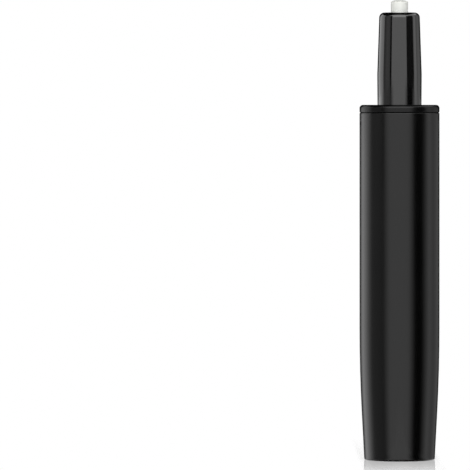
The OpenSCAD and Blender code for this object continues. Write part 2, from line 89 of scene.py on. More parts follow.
def ramp(tree, value, start, end, shape="SMOOTHSTEP"):
    """0 up to the start, 1 past the end, and a rise of the given shape between them."""
    limits = {"Value": value, "From Min": start, "From Max": end}
    return add_node(tree, "ShaderNodeMapRange", limits, interpolation_type=shape).outputs["Result"]


def start_group(name, kind, inputs, outputs):
    """An empty group with named sockets; gives the group, its inputs and its output node."""
    group = bpy.data.node_groups.new(name, kind)
    for in_out, sockets in (("INPUT", inputs), ("OUTPUT", outputs)):
        for label, socket_type in sockets.items():
            group.interface.new_socket(label, in_out=in_out, socket_type=socket_type)
    return group, group.nodes.new("NodeGroupInput").outputs, group.nodes.new("NodeGroupOutput")


print("Helpers ready in Blender", bpy.app.version_string)

# %% [markdown]
# ## Shared surface effects
#
# Paint, plastic, rubber and machined metal differ in colour, but they share a few habits: paint dries
# with a faint orange peel, moulded plastic copies the grain of its tool, turned metal keeps the rings
# of the cutter, and everything gathers smudges and a little dust. Images could carry them, but noise
# needs no file and no unwrapping, and has no seam on a round piece. Each habit is one shader group,
# built once and placed in every finish that has it, with its own size. The groups read a place in
# metres, so a pattern has its real size whatever piece it lands on.


# %% Helpers for effects, and the orange peel of sprayed paint
def start_effect(name, sizes, results):
    """A shader group that takes a place and some sizes and gives some values."""
    inputs = {"Place": PLACE, **dict.fromkeys(sizes, VALUE)}
    return start_group(name, "ShaderNodeTree", inputs, dict.fromkeys(results, VALUE))


def noise(tree, place, size, **values):
    """Cloudy noise from 0 to 1, whose clouds have about the given size."""
    inputs = {"Vector": place, "Scale": work_out(tree, "DIVIDE", 1.0, size), **values}
    return add_node(tree, "ShaderNodeTexNoise", inputs).outputs["Fac"]


def end_effect(group, result, **values):
    """Hands the finished values to the group's outputs."""
    for label, value in values.items():
        group.links.new(value, result.inputs[label])
    print("Group:", group.name, "gives", list(values))
    return group


def paint_skin():
    """Height of the peel, for a peel cell of the given size."""
    group, given, result = start_effect("paint_skin", ["Cell"], ["Height"])
    peel = noise(group, given["Place"], given["Cell"], Detail=1.5, Roughness=0.4)
    return end_effect(group, result, Height=peel)


PAINT_SKIN = paint_skin()

# %% Grain of a moulded surface
TONE_RANGE = (0.3, 0.7)


def mould_grain():
    """Height and tone of the fine grain that a mould leaves, for grains of the given size."""
    group, given, result = start_effect("mould_grain", ["Grain"], ["Height", "Tone"])
    grain = noise(group, given["Place"], given["Grain"], Detail=3.0, Roughness=0.6)
    return end_effect(group, result, Height=grain, Tone=ramp(group, grain, *TONE_RANGE, "LINEAR"))


MOULD_GRAIN = mould_grain()


# %% Rings of a turning tool
def turning_marks():
    """Fine rings round the Z axis, on barrels and on end faces alike, that come and go round the turn."""
    group, given, result = start_effect("turning_marks", ["Pitch"], ["Height", "Tone"])
    place = add_node(group, "ShaderNodeSeparateXYZ", {"Vector": given["Place"]}).outputs
    across = add_node(group, "ShaderNodeCombineXYZ", {"X": place["X"], "Y": place["Y"]}).outputs["Vector"]
    radius = add_node(group, "ShaderNodeVectorMath", {0: across}, operation="LENGTH").outputs["Value"]
    around = add_node(group, "ShaderNodeVectorMath", {0: across}, operation="NORMALIZE").outputs["Vector"]
    heading = add_node(group, "ShaderNodeSeparateXYZ", {"Vector": around}).outputs
    rings_out = work_out(group, "DIVIDE", radius, given["Pitch"])
    rings_up = work_out(group, "DIVIDE", place["Z"], given["Pitch"])
    axes = {"X": rings_out, "Y": rings_up, "Z": heading["X"]}
    spot = add_node(group, "ShaderNodeCombineXYZ", axes).outputs["Vector"]
    inputs = {"Vector": spot, "W": heading["Y"], "Scale": 1.0, "Detail": 2.0, "Roughness": 0.6}
    marks = add_node(group, "ShaderNodeTexNoise", inputs, noise_dimensions="4D").outputs["Fac"]
    return end_effect(group, result, Height=marks, Tone=ramp(group, marks, *TONE_RANGE, "LINEAR"))


TURNING_MARKS = turning_marks()

# %% Smudges and dust
SMUDGE_RANGE = (0.4, 0.7)
SPECK_RANGE = (0.22, 0.1)


def smudges():
    """Soft clouds from 0 to 1, of about the given size, as handling and oil leave them."""
    group, given, result = start_effect("smudges", ["Size"], ["Mask"])
    clouds = noise(group, given["Place"], given["Size"], Detail=4.0, Roughness=0.55, Distortion=0.6)
    return end_effect(group, result, Mask=ramp(group, clouds, *SMUDGE_RANGE))


def dust():
    """Sparse specks from 0 to 1: of all cells at the given spacing, the given share holds a speck."""
    group, given, result = start_effect("dust", ["Spacing", "Share"], ["Mask"])
    scale = work_out(group, "DIVIDE", 1.0, given["Spacing"])
    cells = add_node(group, "ShaderNodeTexVoronoi", {"Vector": given["Place"], "Scale": scale}).outputs
    draw = add_node(group, "ShaderNodeSeparateColor", {"Color": cells["Color"]}).outputs["Red"]
    chosen = work_out(group, "LESS_THAN", draw, given["Share"])
    speck = ramp(group, cells["Distance"], *SPECK_RANGE)
    return end_effect(group, result, Mask=work_out(group, "MULTIPLY", chosen, speck))


SMUDGES = smudges()
DUST = dust()

# %% [markdown]
# ## The finishes
#
# Each finish is one material with a Principled shader of its own. What is the same all over, such as
# the index of refraction, is set on the shader's socket; only what changes over the surface comes
# through nodes. All of them read Object coordinates: every piece sits at the origin with its place in
# its mesh, so these are metres in the lift's own frame.

# %% Helpers for finishes
finishes = {}


def new_material(name):
    """A new material; gives it and its node tree."""
    material = bpy.data.materials.new(name)
    material.use_nodes = True
    return material, material.node_tree


class Finish:
    """A new material for a slot of the record, with its shader and the place on the piece."""

    def __init__(self, slot):
        finishes[slot], self.tree = new_material(slot)
        self.shader = self.tree.nodes["Principled BSDF"]
        self.place = self.tree.nodes.new("ShaderNodeTexCoord").outputs["Object"]
        print("Finish of the slot", slot)

    def effect(self, group, **sizes):
        """Outputs of a shared effect, placed in this finish."""
        inputs = {"Place": self.place, **sizes}
        return add_node(self.tree, "ShaderNodeGroup", inputs, node_tree=group).outputs

    def vary_colour(self, mask, low, high):
        """Base colour from low to high as the mask goes from 0 to 1."""
        blend = add_node(self.tree, "ShaderNodeValToRGB", {"Fac": mask})
        blend.color_ramp.elements[0].color = (*low, 1.0)
        blend.color_ramp.elements[1].color = (*high, 1.0)
        self.tree.links.new(blend.outputs["Color"], self.shader.inputs["Base Color"])

    def vary_roughness(self, mask, low, high):
        """Roughness from low to high as the mask goes from 0 to 1."""
        spread = add_node(self.tree, "ShaderNodeMapRange", {"Value": mask, "To Min": low, "To Max": high})
        self.tree.links.new(spread.outputs["Result"], self.shader.inputs["Roughness"])

    def raise_surface(self, height, depth):
        """Bump of the given depth in metres."""
        bump = add_node(self.tree, "ShaderNodeBump", {"Height": height, "Distance": depth})
        self.tree.links.new(bump.outputs["Normal"], self.shader.inputs["Normal"])

    def set_value(self, label, value):
        """A value that is the same all over, set on the shader's own socket."""
        self.shader.inputs[label].default_value = value


# %% [markdown]
# ### Satin powder coat of the column
#
# The column is powder coated: a deep black with a satin skin, which blurs the studio into broad soft
# bands. One colour and one roughness would give the bands, but too clean. Its gloss is mostly a matter
# of roughness, so that is where the variation goes. The peel is a few thousandths of a millimetre high
# and only just breaks up the highlights.


# %% Column paint
def satin_powder_coat():
    finish = Finish("column_paint")
    skin = finish.effect(PAINT_SKIN, Cell=1.4 * MM)
    touched = finish.effect(SMUDGES, Size=45 * MM)["Mask"]
    specks = finish.effect(DUST, Spacing=1.6 * MM, Share=0.05)["Mask"]
    finish.vary_colour(specks, (0.001, 0.001, 0.001), (0.008, 0.008, 0.008))
    finish.vary_roughness(touched, 0.19, 0.22)
    finish.raise_surface(skin["Height"], 0.004 * MM)
    finish.set_value("IOR", 1.5)


satin_powder_coat()

# %% [markdown]
# ### Gloss lacquer of the spindle
#
# The spindle is ground, lacquered and shiny enough to mirror the edges of the lights. A lower roughness
# alone would sharpen these edges but not brighten them. A dark pigment layer under a clear coat reflects
# twice, and so a little more than the column does: that is what the Principled shader's coat is for.


# %% Spindle lacquer
def gloss_lacquer():
    finish = Finish("spindle_paint")
    skin = finish.effect(PAINT_SKIN, Cell=2.2 * MM)
    touched = finish.effect(SMUDGES, Size=30 * MM)["Mask"]
    specks = finish.effect(DUST, Spacing=1.4 * MM, Share=0.04)["Mask"]
    finish.vary_colour(specks, (0.003, 0.003, 0.0031), (0.015, 0.015, 0.015))
    finish.vary_roughness(touched, 0.09, 0.12)
    finish.raise_surface(skin["Height"], 0.002 * MM)
    finish.set_value("IOR", 1.5)
    finish.set_value("Coat Weight", 1.0)
    finish.set_value("Coat Roughness", 0.04)
    finish.set_value("Coat IOR", 1.5)


gloss_lacquer()

# %% [markdown]
# ### Moulded plastics
#
# The collar is a black moulded plastic, a shade duller than the paint below it. The button is white
# nylon, and the small rings inside are left in the plastic's natural colour. Subsurface scattering could
# make the pale ones glow from within; a plain base colour is simpler and looks alike in other programs.
# All three share the mould's grain, and the pale ones also drift a little in tone, as bare nylon does.


# %% Collar, button and natural plastic
def black_moulding():
    finish = Finish("bush_plastic")
    grain = finish.effect(MOULD_GRAIN, Grain=0.35 * MM)
    touched = finish.effect(SMUDGES, Size=25 * MM)["Mask"]
    specks = finish.effect(DUST, Spacing=1.2 * MM, Share=0.06)["Mask"]
    finish.vary_colour(specks, (0.0018, 0.0018, 0.0019), (0.012, 0.012, 0.012))
    finish.vary_roughness(touched, 0.23, 0.27)
    finish.raise_surface(grain["Height"], 0.003 * MM)
    finish.set_value("IOR", 1.37)


def white_nylon():
    finish = Finish("button_nylon")
    grain = finish.effect(MOULD_GRAIN, Grain=0.25 * MM)
    touched = finish.effect(SMUDGES, Size=9 * MM)["Mask"]
    finish.vary_colour(touched, (0.93, 0.94, 0.9), (0.91, 0.92, 0.87))
    finish.vary_roughness(grain["Tone"], 0.36, 0.46)
    finish.raise_surface(grain["Height"], 0.004 * MM)
    finish.set_value("IOR", 1.53)


def natural_plastic():
    finish = Finish("natural_plastic")
    grain = finish.effect(MOULD_GRAIN, Grain=0.3 * MM)
    touched = finish.effect(SMUDGES, Size=8 * MM)["Mask"]
    finish.vary_colour(touched, (0.72, 0.69, 0.6), (0.62, 0.58, 0.48))
    finish.vary_roughness(grain["Tone"], 0.4, 0.52)
    finish.raise_surface(grain["Height"], 0.004 * MM)


black_moulding()
white_nylon()
natural_plastic()

# %% [markdown]
# ### Machined and pressed metal
#
# Rod, races, piston and valve are turned or ground, so they carry rings round the axis at the pitch of
# their cutter: coarse on the aluminium, almost polished on the chrome. Anisotropy could stretch their
# highlights in the same way, but rings in the roughness and the bump hold up close by too. One function
# makes them all from a short row of values. The plate, the washers and the clip are pressed from sheet
# instead, so they get a grain and a cloudy plating.

# %% Turned metals
OIL_DIMMING = 0.86


def turned_metal(slot, colour, roughness, pitch, depth):
    """A metal with turning rings of the given pitch; roughness runs between two values."""
    finish = Finish(slot)
    marks = finish.effect(TURNING_MARKS, Pitch=pitch)
    oily = finish.effect(SMUDGES, Size=12 * MM)["Mask"]
    finish.vary_colour(oily, colour, [channel * OIL_DIMMING for channel in colour])
    finish.vary_roughness(marks["Tone"], *roughness)
    finish.raise_surface(marks["Height"], depth)
    finish.set_value("Metallic", 1.0)


turned_metal("bearing_steel", (0.6, 0.61, 0.62), (0.16, 0.24), pitch=0.12 * MM, depth=0.002 * MM)
turned_metal("rod_chrome", (0.78, 0.79, 0.8), (0.06, 0.11), pitch=0.08 * MM, depth=0.0005 * MM)
turned_metal("body_aluminium", (0.66, 0.67, 0.68), (0.25, 0.36), pitch=0.2 * MM, depth=0.005 * MM)
turned_metal("cage_brass", (0.7, 0.5, 0.22), (0.2, 0.3), pitch=0.15 * MM, depth=0.003 * MM)


# %% Pressed metals and rubber
def pressed_steel(slot, colour, stain, roughness):
    """Sheet steel with the grain of rolling and a cloudy plating or bluing."""
    finish = Finish(slot)
    grain = finish.effect(MOULD_GRAIN, Grain=0.2 * MM)
    clouds = finish.effect(SMUDGES, Size=6 * MM)["Mask"]
    finish.vary_colour(clouds, colour, stain)
    finish.vary_roughness(grain["Tone"], *roughness)
    finish.raise_surface(grain["Height"], 0.003 * MM)
    finish.set_value("Metallic", 1.0)


def matt_rubber():
    finish = Finish("seal_rubber")
    grain = finish.effect(MOULD_GRAIN, Grain=0.4 * MM)
    greasy = finish.effect(SMUDGES, Size=5 * MM)["Mask"]
    finish.vary_colour(grain["Tone"], (0.014, 0.014, 0.014), (0.024, 0.024, 0.024))
    finish.vary_roughness(greasy, 0.72, 0.45)
    finish.raise_surface(grain["Height"], 0.01 * MM)


pressed_steel("plate_steel", (0.42, 0.42, 0.43), (0.34, 0.345, 0.36), (0.3, 0.42))
pressed_steel("clip_steel", (0.16, 0.16, 0.17), (0.1, 0.105, 0.125), (0.26, 0.36))
matt_rubber()
print("Finishes made:", len(finishes))

# %% [markdown]
# ## A lathe made of nodes
#
# Almost every piece of a gas lift is turned, so its shape follows one rule: an outline swept round the
# axis. Blender's Screw modifier or bmesh's spin could do it. Here Geometry Nodes do: the outline comes
# in as the object's own edges, is laid flat beside the path it will follow, and Curve to Mesh carries
# it round a circle. One tree then serves all turned pieces, each with its own number of steps.

# %% The turning tree
SHAPE = "NodeSocketGeometry"
COUNT = "NodeSocketInt"
MATERIAL = "NodeSocketMaterial"
MERGE_DISTANCE = 1e-7


def end_tree(tree, geometry, finish, result):
    """Makes copies real, gives the shape its finish and hands it to the tree's output."""
    real = add_node(tree, "GeometryNodeRealizeInstances", {"Geometry": geometry}).outputs["Geometry"]
    dressed = add_node(tree, "GeometryNodeSetMaterial", {"Geometry": real, "Material": finish})
    tree.links.new(dressed.outputs["Geometry"], result.inputs[0])
    print("Tree:", tree.name, "with", len(tree.nodes), "nodes")
    return tree


def turning_tree():
    """Sweeps an outline of edges in the XZ plane round the Z axis."""
    inputs = {"Outline": SHAPE, "Arbor": VALUE, "Steps": COUNT, "Finish": MATERIAL}
    tree, given, result = start_group("turning", "GeometryNodeTree", inputs, {"Piece": SHAPE})
    here = add_node(tree, "GeometryNodeInputPosition").outputs["Position"]
    outline = add_node(tree, "ShaderNodeSeparateXYZ", {"Vector": here}).outputs
    outwards = work_out(tree, "SUBTRACT", outline["X"], given["Arbor"])
    downwards = work_out(tree, "MULTIPLY", outline["Z"], -1.0)
    flat = add_node(tree, "ShaderNodeCombineXYZ", {"X": outwards, "Y": downwards}).outputs["Vector"]
    laid = add_node(tree, "GeometryNodeSetPosition", {"Geometry": given["Outline"], "Position": flat})
    section = add_node(tree, "GeometryNodeMeshToCurve", {"Mesh": laid.outputs["Geometry"]}).outputs["Curve"]
    circle = {"Resolution": given["Steps"], "Radius": given["Arbor"]}
    path = add_node(tree, "GeometryNodeCurvePrimitiveCircle", circle).outputs["Curve"]
    swept = add_node(tree, "GeometryNodeCurveToMesh", {"Curve": path, "Profile Curve": section})
    seam = {"Geometry": swept.outputs["Mesh"], "Distance": MERGE_DISTANCE}
    closed = add_node(tree, "GeometryNodeMergeByDistance", seam).outputs["Geometry"]
    smooth = add_node(tree, "GeometryNodeSetShadeSmooth", {"Geometry": closed}).outputs["Geometry"]
    return end_tree(tree, smooth, given["Finish"], result)


TURNING = turning_tree()

# %% [markdown]
# ## Outlines with rounded corners
#
# No real edge is a knife edge, and it is the roundings that catch the light. A Bevel modifier could
# add them later, with one width for all. Here an outline is written as a few corners, each with its
# radius, its height and its own rounding in millimetres. The helper turns each rounded corner into an
# arc and sets a guard point on either side of it, so that smooth shading stays within the arc and the
# long faces beside it stay straight. Roundings that edges of many pieces share get a name.

# %% Round one corner
from math import ceil, cos, pi, radians, tan
from mathutils import Matrix, Vector

CRISP = 0.05
FINE = 0.1
SLIGHT = 0.15
EASED = 0.2
SOFT = 0.3
ARC_STEP = radians(9)
LEAST_ARC_STEPS = 4
LARGEST_SHARE = 0.49
GUARD_DISTANCE = 2
GUARD_ROOM = 3


def corner_arc(corner, before, after, rounding):
    """Points of the arc that rounds a corner, whose neighbours lie at before and after from it.

    The arc takes no more than a share of either side. A guard point stands a multiple of the arc's
    reach away from the corner, where a side has room for it.
    """
    half = before.angle(after) / 2
    reach = min(rounding / tan(half), LARGEST_SHARE * min(before.length, after.length))
    back = before.normalized()
    onward = after.normalized()
    middle = corner + (back + onward).normalized() * (reach / cos(half))
    spoke = corner + back * reach - middle
    turn = pi - 2 * half
    way = 1 if before.cross(after) < 0 else -1
    steps = max(LEAST_ARC_STEPS, ceil(turn / ARC_STEP))
    points = [middle + Matrix.Rotation(way * turn * i / steps, 2) @ spoke for i in range(steps + 1)]
    if before.length > GUARD_ROOM * reach:
        points.insert(0, corner + back * GUARD_DISTANCE * reach)
    if after.length > GUARD_ROOM * reach:
        points.append(corner + onward * GUARD_DISTANCE * reach)
    return points


right_angle = corner_arc(Vector((0, 0)), Vector((1, 0)), Vector((0, 1)), SOFT)
print("A soft right angle has", len(right_angle), "points")


# %% Corners to points
def rounded(corners):
    """An outline's points in metres from (radius, height, rounding) corners in millimetres."""
    places = [Vector((radius, height)) for radius, height, _ in corners]
    points = []
    for i, (_, _, rounding) in enumerate(corners):
        here = places[i]
        if rounding:
            following = places[(i + 1) % len(places)]
            points += corner_arc(here, places[i - 1] - here, following - here, rounding)
        else:
            points.append(here)
    return [point * MM for point in points]


square = [(1, 0, SOFT), (3, 0, SOFT), (3, 2, SOFT), (1, 2, SOFT)]
print("A 2 mm square with soft corners has", len(rounded(square)), "points")

# %% [markdown]
# ## From outline to piece
#
# A piece is made in three moves: its outline becomes an object of bare edges, the tree turns it, and
# new_from_object keeps the result. The modifier could stay on for a render, but a plain mesh is the
# same everywhere. Then the normals are made consistent, and only true corners are marked sharp. A
# finished piece takes the place of its node and moves with the node's body.

# %% Run a tree and tidy the mesh
import bmesh

SHARP_DEGREES = 30


def new_object(name, data):
    """A new object of the scene, at the origin."""
    thing = bpy.data.objects.new(name, data)
    bpy.context.scene.collection.objects.link(thing)
    return thing


def run_tree(piece, tree, **inputs):
    """Runs a geometry tree on a piece and keeps the result as the piece's plain mesh."""
    modifier = piece.modifiers.new(tree.name, "NODES")
    modifier.node_group = tree
    sockets = {item.name: item.identifier for item in tree.interface.items_tree if item.in_out == "INPUT"}
    for label, value in inputs.items():
        modifier[sockets[label]] = value
    evaluated = piece.evaluated_get(bpy.context.evaluated_depsgraph_get())
    source = piece.data
    piece.data = bpy.data.meshes.new_from_object(evaluated)
    piece.data.name = piece.name
    piece.modifiers.clear()
    bpy.data.meshes.remove(source)


def write_mesh(work, mesh):
    """Writes a bmesh into a mesh and lets the bmesh go."""
    work.to_mesh(mesh)
    work.free()
    return mesh


def face_outwards(mesh):
    """Merges doubles, turns the faces outwards and marks the true corners as sharp."""
    work = bmesh.new()
    work.from_mesh(mesh)
    bmesh.ops.remove_doubles(work, verts=work.verts, dist=MERGE_DISTANCE)
    bmesh.ops.recalc_face_normals(work, faces=work.faces)
    write_mesh(work, mesh)
    mesh.set_sharp_from_angle(angle=radians(SHARP_DEGREES))


print("Edges are sharp from", SHARP_DEGREES, "degrees")

# %% Turn and seat a piece
ARBOR_RADIUS = 10 * MM
dressed_nodes = set()


def turn_piece(name, corners, slot, steps, closed=True):
    """A turned piece from the corners of its outline; an outline that isn't closed ends on the axis."""
    points = rounded(corners)
    edges = [(i, i + 1) for i in range(len(points) - 1)]
    if closed:
        edges.append((len(points) - 1, 0))
    outline = bpy.data.meshes.new(name)
    outline.from_pydata([(point.x, 0.0, point.y) for point in points], edges, [])
    piece = new_object(name, outline)
    run_tree(piece, TURNING, Arbor=ARBOR_RADIUS, Steps=steps, Finish=finishes[slot])
    face_outwards(piece.data)
    print(name, "has", len(points), "outline points and", len(piece.data.polygons), "faces")
    return piece


def seat_piece(piece, body, node):
    """Puts a finished piece on its body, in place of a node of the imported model."""
    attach(piece, body)
    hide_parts(node)
    dressed_nodes.add(node)


print("The arbor has a radius of", ARBOR_RADIUS / MM, "mm")

# %% [markdown]
# ## The column
#
# The column is a drawn steel tube, swaged to a taper at its foot so that it wedges in the chair's base,
# and rolled in below to hold a plate. A stock cylinder could be cut and scaled to it; an outline gives
# the wall, the rolled foot and the roundings at once. Height and radius come from the frame. The taper
# blends into the straight part over a long arc, which shows as a gentle bend in the highlights. Rows of
# extra points near the top wait for the stakes.


# %% Column outline
def span(node):
    """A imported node's radius and its lowest and highest point, in millimetres."""
    low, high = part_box(node)
    return high.x / MM, low.z / MM, high.z / MM


COLUMN_R, _, TUBE_TOP = span("outer_tube")
WALL = 2.0
BORE_R = COLUMN_R - WALL
FOOT_R = 22.05
TAPER_H = 56.0
BLEND_R = 1000.0
FOOT_ROUNDING = 0.6
FOOT_HOLE_R = 17.0
FOOT_HOLE_ROUNDING = 0.4
LIP = 2.0
EDGE_ROUNDING = 0.5
STAKE_DROP = 6.2
STAKE_Z = TUBE_TOP - STAKE_DROP
ROW_STEP = 0.1
ROWS_EACH_WAY = 19

stake_rows = [STAKE_Z + i * ROW_STEP for i in range(-ROWS_EACH_WAY, ROWS_EACH_WAY + 1)]
lip_r = FOOT_R + LIP * (COLUMN_R - FOOT_R) / TAPER_H - WALL
column_corners = [
    (FOOT_R, 0.0, FOOT_ROUNDING),
    (COLUMN_R, TAPER_H, BLEND_R),
    *[(COLUMN_R, z, 0) for z in stake_rows],
    (COLUMN_R, TUBE_TOP, EDGE_ROUNDING),
    (BORE_R, TUBE_TOP, 0),
    *[(BORE_R, z, 0) for z in reversed(stake_rows)],
    (BORE_R, TAPER_H, BLEND_R - WALL),
    (lip_r, LIP, SOFT),
    (FOOT_HOLE_R, LIP, EASED),
    (FOOT_HOLE_R, 0.0, FOOT_HOLE_ROUNDING),
]
column = turn_piece("column_tube", column_corners, "column_paint", steps=512)

# %% [markdown]
# ### The stakes
#
# Small dents just below the seam lock the collar in the tube, in a pair on either side. A blunt punch
# with sloping sides makes them: it presses the wall in by a little over half of its thickness, so a dent
# has steep sides, which look black from the side, and a softened rim. A boolean cut would leave a knife
# edge there. Instead the tube's own points move: first they slide round the tube towards the stakes,
# which leaves its shape as it is and makes the grid fine enough, and then they go in as the punch does.

# %% Punch the stakes
from math import atan2, hypot, sin, sqrt

GATHERING = 0.8
STAKE_R = 1.7
STAKE_DEPTH = 1.2
STAKE_SLOPE = tan(radians(50))
RIM_SOFTNESS = 0.05
STAKE_SPREAD = 11.5

stake_angles = [side + way * STAKE_SPREAD for side in (0, 180) for way in (-1, 1)]
stake_headings = [(cos(radians(angle)), sin(radians(angle))) for angle in stake_angles]


def gather_points(mesh):
    """Slides the tube's points round it, so that they lie close together on the +X and -X sides."""
    for vertex in mesh.vertices:
        radius = hypot(vertex.co.x, vertex.co.y)
        angle = atan2(vertex.co.y, vertex.co.x)
        angle -= GATHERING / 2 * sin(2 * angle)
        vertex.co.x = radius * cos(angle)
        vertex.co.y = radius * sin(angle)


def punch_stakes(mesh):
    """Dents both walls of the tube at every stake; gives the number of points moved."""
    moved = 0
    for vertex in mesh.vertices:
        x, y, z = vertex.co / MM
        radius = hypot(x, y)
        ahead = max(x * east + y * north for east, north in stake_headings)
        aside = sqrt(max(radius**2 - ahead**2, 0.0))
        inside = STAKE_R - hypot(aside, z - STAKE_Z)
        if inside > 0:
            depth = min((hypot(inside, RIM_SOFTNESS) - RIM_SOFTNESS) * STAKE_SLOPE, STAKE_DEPTH)
            vertex.co.xy *= 1 - depth / radius
            moved += 1
    mesh.update()
    return moved


gather_points(column.data)
print("Points moved by the stakes:", punch_stakes(column.data))
seat_piece(column, "column", "outer_tube")

# %% [markdown]
# ## The collar and its bush
#
# The collar is the head of a long moulded bush that guides the spindle. Below the seam it is hidden in
# the tube: a land at each end, a groove for the stakes, and thin ribs between the lands. The sleeve is
# turned like the rest. The ribs repeat, so one rib is modelled and a second tree places the copies; an
# Array modifier could do that too, but it needs an empty to turn it.

# %% Bush outline
_, BUSH_FOOT, COLLAR_TOP = span("guide_bush")
BUSH_BORE_R = 13.83
SLEEVE_R = 17.03
SLEEVE_FILLET = 0.5
PRESS_GAP = 0.05
BUSH_R = BORE_R - PRESS_GAP
LAND = 12.0
SEAM_CHAMFER = 0.62
COLLAR_ROUNDING = 2.8
MOUTH = 0.6
GROOVE_GAP = 0.3
GROOVE_R = BORE_R - STAKE_DEPTH - GROOVE_GAP
GROOVE_HALF = 2.0

rib_low = BUSH_FOOT + LAND
rib_high = TUBE_TOP - LAND
bush_corners = [
    (BUSH_BORE_R, BUSH_FOOT, SOFT),
    (BUSH_R, BUSH_FOOT, SOFT),
    (BUSH_R, rib_low, EASED),
    (SLEEVE_R, rib_low, SLEEVE_FILLET),
    (SLEEVE_R, rib_high, SLEEVE_FILLET),
    (BUSH_R, rib_high, EASED),
    (BUSH_R, STAKE_Z - GROOVE_HALF, FINE),
    (GROOVE_R, STAKE_Z - GROOVE_HALF, FINE),
    (GROOVE_R, STAKE_Z + GROOVE_HALF, FINE),
    (BUSH_R, STAKE_Z + GROOVE_HALF, FINE),
    (BUSH_R, TUBE_TOP, 0),
    (COLUMN_R - SEAM_CHAMFER, TUBE_TOP, CRISP),
    (COLUMN_R, TUBE_TOP + SEAM_CHAMFER, FINE),
    (COLUMN_R, COLLAR_TOP, COLLAR_ROUNDING),
    (BUSH_BORE_R + MOUTH, COLLAR_TOP, SLIGHT),
    (BUSH_BORE_R, COLLAR_TOP - MOUTH, SLIGHT),
]
bush = turn_piece("collar_and_bush", bush_corners, "bush_plastic", steps=384)


# %% Copies round the axis
def ring_tree():
    """Copies of a piece at equal steps round the Z axis."""
    inputs = {"Copy": SHAPE, "Count": COUNT, "Finish": MATERIAL}
    tree, given, result = start_group("copies_round_the_axis", "GeometryNodeTree", inputs, {"Ring": SHAPE})
    index = add_node(tree, "GeometryNodeInputIndex").outputs["Index"]
    step = work_out(tree, "DIVIDE", 2 * pi, given["Count"])
    angle = add_node(tree, "ShaderNodeCombineXYZ", {"Z": work_out(tree, "MULTIPLY", index, step)})
    turned = add_node(tree, "FunctionNodeEulerToRotation", {"Euler": angle.outputs["Vector"]})
    centres = add_node(tree, "GeometryNodePoints", {"Count": given["Count"]})
    copies = add_node(
        tree,
        "GeometryNodeInstanceOnPoints",
        {"Points": centres.outputs[0], "Instance": given["Copy"], "Rotation": turned.outputs["Rotation"]},
    )
    return end_tree(tree, copies.outputs["Instances"], given["Finish"], result)


RING = ring_tree()

# %% Ribs of the bush
RIB_COUNT = 8
RIB_THICKNESS = 2.4
RIB_ROOT = 1.6
RIB_EDGE = 0.4
RIB_EDGE_STEPS = 2


def rib_mesh():
    """One rib with softened edges, standing on the sleeve on the +X side."""
    rib_r = sqrt((BUSH_R - PRESS_GAP) ** 2 - (RIB_THICKNESS / 2) ** 2)
    width = rib_r - SLEEVE_R + RIB_ROOT
    height = rib_high - rib_low + 2 * RIB_ROOT
    middle = Vector((rib_r - width / 2, 0.0, (rib_low + rib_high) / 2)) * MM
    work = bmesh.new()
    bmesh.ops.create_cube(work, size=1.0)
    bmesh.ops.scale(work, vec=(width * MM, RIB_THICKNESS * MM, height * MM), verts=work.verts)
    bmesh.ops.translate(work, vec=middle, verts=work.verts)
    bmesh.ops.bevel(
        work, geom=work.edges, offset=RIB_EDGE * MM, segments=RIB_EDGE_STEPS, affect="EDGES"
    )
    return write_mesh(work, bpy.data.meshes.new("bush_ribs"))


def join_into(piece, other):
    """Adds another object's mesh to a piece and removes the other."""
    work = bmesh.new()
    work.from_mesh(piece.data)
    work.from_mesh(other.data)
    write_mesh(work, piece.data)
    bpy.data.objects.remove(other)


ribs = new_object("bush_ribs", rib_mesh())
run_tree(ribs, RING, Count=RIB_COUNT, Finish=finishes["bush_plastic"])
face_outwards(ribs.data)
join_into(bush, ribs)
seat_piece(bush, "column", "guide_bush")
print(bush.name, "with ribs has", len(bush.data.polygons), "faces")

# %% [markdown]
# ## The spindle
#
# The spindle is the gas spring's pressure tube. It slides in the bush as a plain barrel; above the
# collar it swells by a hair and then tapers, so that a seat mechanism wedges onto it. Its top is rolled
# in round the button. A plain cone would do from afar, but the two bends kink the highlights, and they
# are so slight that they only need a long blend to look ground.

# %% Spindle outline
SWELL_R, SPINDLE_FOOT, SPINDLE_TOP = span("spindle_tube")
SWELL_H = 19.0
SWELL_Z = COLLAR_TOP + SWELL_H
BARREL_R = 13.75
TAPER_SLOPE = tan(radians(1.95))
SPINDLE_WALL = 2.0
SPINDLE_LIP = 2.5
SPINDLE_BLEND = 60.0
SPINDLE_ROUNDING = 3.2
SPINDLE_FOOT_ROUNDING = 1.5
BUTTON_HOLE_R = 5.6
ROD_HOLE_R = 6.0
ROD_HOLE_ROUNDING = 0.4
CHAMBER_R = BARREL_R - SPINDLE_WALL


def taper_r(z):
    """Outside radius of the seat taper at a height."""
    return SWELL_R - (z - SWELL_Z) * TAPER_SLOPE


lip_z = SPINDLE_TOP - SPINDLE_LIP
socket_z = SWELL_Z + (SWELL_R - BARREL_R) / TAPER_SLOPE
spindle_corners = [
    (BARREL_R, SPINDLE_FOOT, SPINDLE_FOOT_ROUNDING),
    (BARREL_R, COLLAR_TOP, SPINDLE_BLEND),
    (SWELL_R, SWELL_Z, SPINDLE_BLEND),
    (taper_r(SPINDLE_TOP), SPINDLE_TOP, SPINDLE_ROUNDING),
    (BUTTON_HOLE_R, SPINDLE_TOP, SOFT),
    (BUTTON_HOLE_R, lip_z, EASED),
    (taper_r(lip_z) - SPINDLE_WALL, lip_z, SOFT),
    (CHAMBER_R, socket_z, 0),
    (CHAMBER_R, SPINDLE_FOOT + SPINDLE_LIP, SOFT),
    (ROD_HOLE_R, SPINDLE_FOOT + SPINDLE_LIP, EASED),
    (ROD_HOLE_R, SPINDLE_FOOT, ROD_HOLE_ROUNDING),
]
spindle = turn_piece("spindle_barrel", spindle_corners, "spindle_paint", steps=384)
seat_piece(spindle, "cylinder", "spindle_tube")

